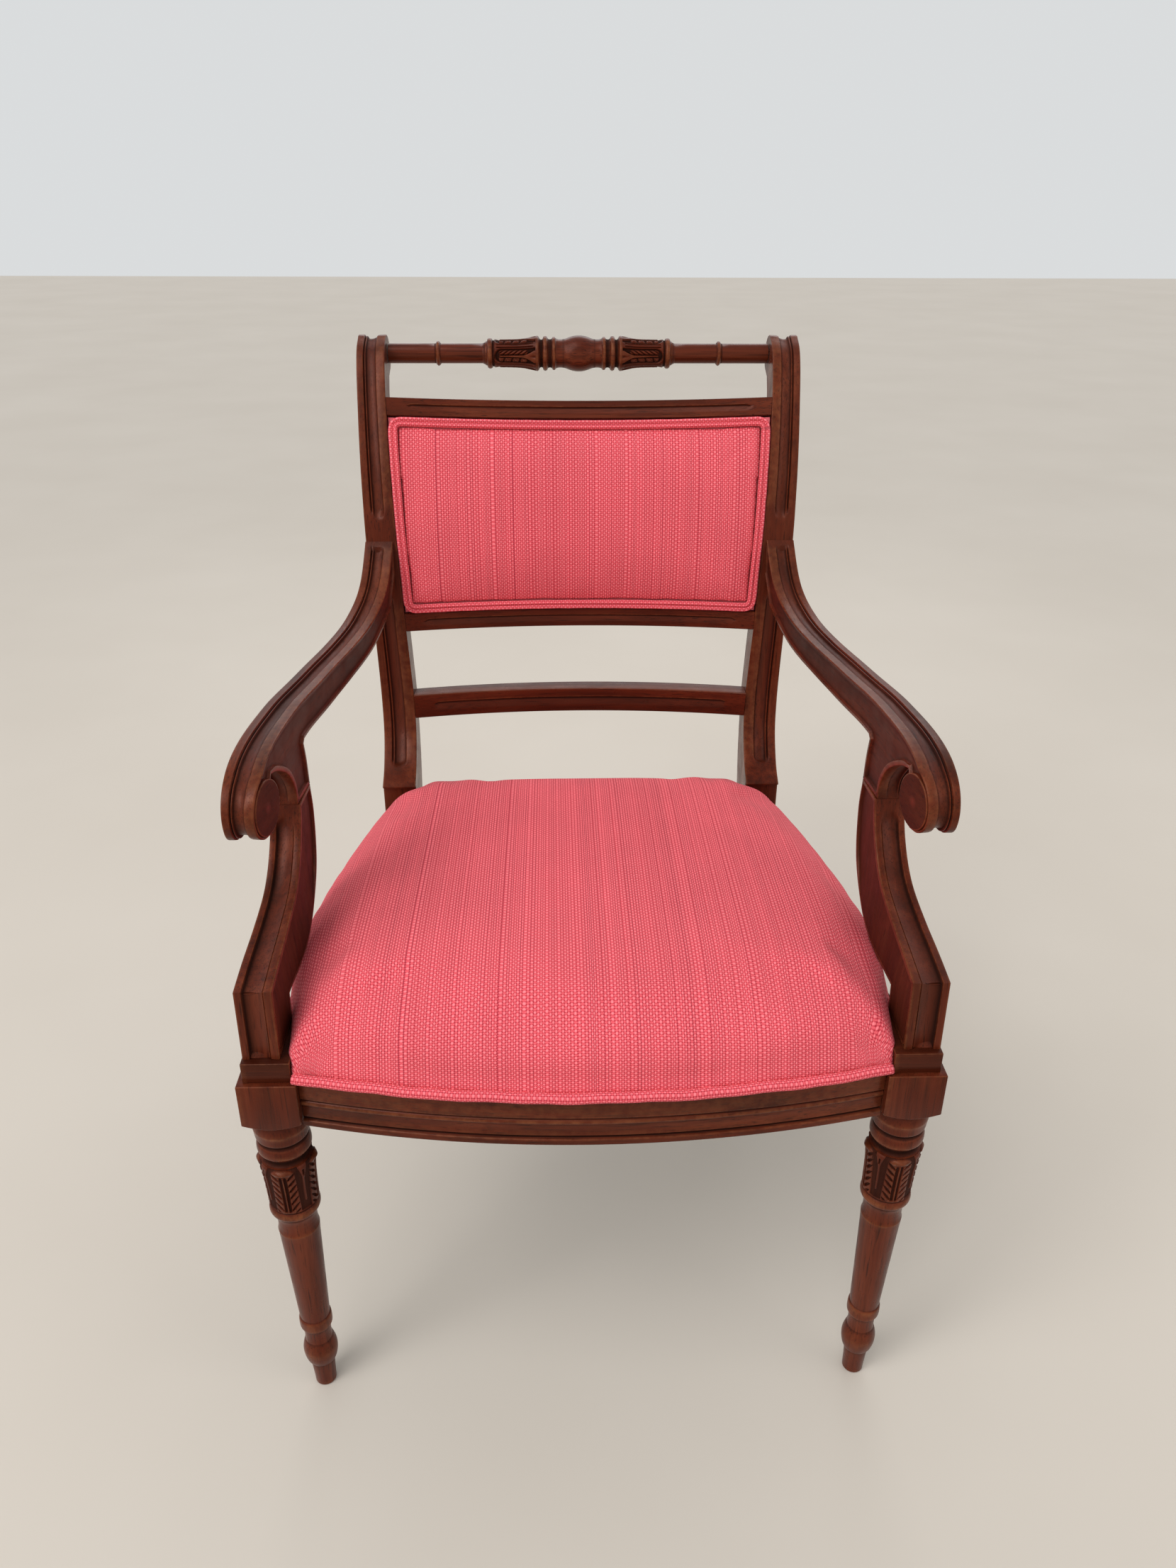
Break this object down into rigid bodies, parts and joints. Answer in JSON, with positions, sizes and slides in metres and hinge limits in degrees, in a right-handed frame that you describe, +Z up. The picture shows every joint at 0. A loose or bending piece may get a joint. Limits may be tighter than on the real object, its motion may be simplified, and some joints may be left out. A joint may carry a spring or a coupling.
{
  "type": "armchair",
  "caption": "Open armchair with scrolled arms, turned crest rail and front legs, sabre rear legs, and an upholstered seat and back panel.",
  "frame": {"origin": "bottom centre of the bounding box, on the floor", "axes": "+Z up, +X to the sitter's left, the chair faces -Y"},
  "size_m": [0.571, 0.6449, 0.8792],
  "materials": {
    "mahogany": "red-brown stained hardwood with a satin polish and darker glaze in the carving",
    "inner_wood": "plain unfinished wood, out of sight",
    "cover_fabric": "coral pink chunky basket weave with irregular lengthwise stripes",
    "foam": "open-cell upholstery foam",
    "webbing": "jute webbing",
    "black_cloth": "thin black cloth",
    "steel": "zinc-plated wood screws"
  },
  "bodies": {
    "root": {"arm_dowel_left": "inner_wood", "arm_dowel_right": "inner_wood", "arm_left": "mahogany", "arm_plug_left": "mahogany", "arm_plug_right": "mahogany", "arm_right": "mahogany", "arm_screw_left": "steel", "arm_screw_right": "steel", "arm_support_left": "mahogany", "arm_support_right": "mahogany", "back_cover": "cover_fabric", "back_foam": "foam", "back_panel": "inner_wood", "back_welt": "cover_fabric", "block_screw_front_1_left": "steel", "block_screw_front_1_right": "steel", "block_screw_front_2_left": "steel", "block_screw_front_2_right": "steel", "block_screw_rear_1_left": "steel", "block_screw_rear_1_right": "steel", "block_screw_rear_2_left": "steel", "block_screw_rear_2_right": "steel", "corner_block_front_left": "inner_wood", "corner_block_front_right": "inner_wood", "corner_block_rear_left": "inner_wood", "corner_block_rear_right": "inner_wood", "crest_rail": "mahogany", "dust_cover": "black_cloth", "foot_dowel_left": "inner_wood", "foot_dowel_right": "inner_wood", "front_leg_left": "mahogany", "front_leg_right": "mahogany", "front_seat_rail": "mahogany", "lower_back_rail": "mahogany", "outside_back": "cover_fabric", "rear_seat_rail": "mahogany", "seat_cover": "cover_fabric", "seat_foam": "foam", "seat_welt": "cover_fabric", "side_seat_rail_left": "mahogany", "side_seat_rail_right": "mahogany", "stay_rail": "mahogany", "stile_left": "mahogany", "stile_right": "mahogany", "upper_back_rail": "mahogany", "webbing_across_1": "webbing", "webbing_across_2": "webbing", "webbing_across_3": "webbing", "webbing_along_1": "webbing", "webbing_along_2": "webbing", "webbing_along_3": "webbing", "webbing_along_4": "webbing"}
  },
  "joints": []
}
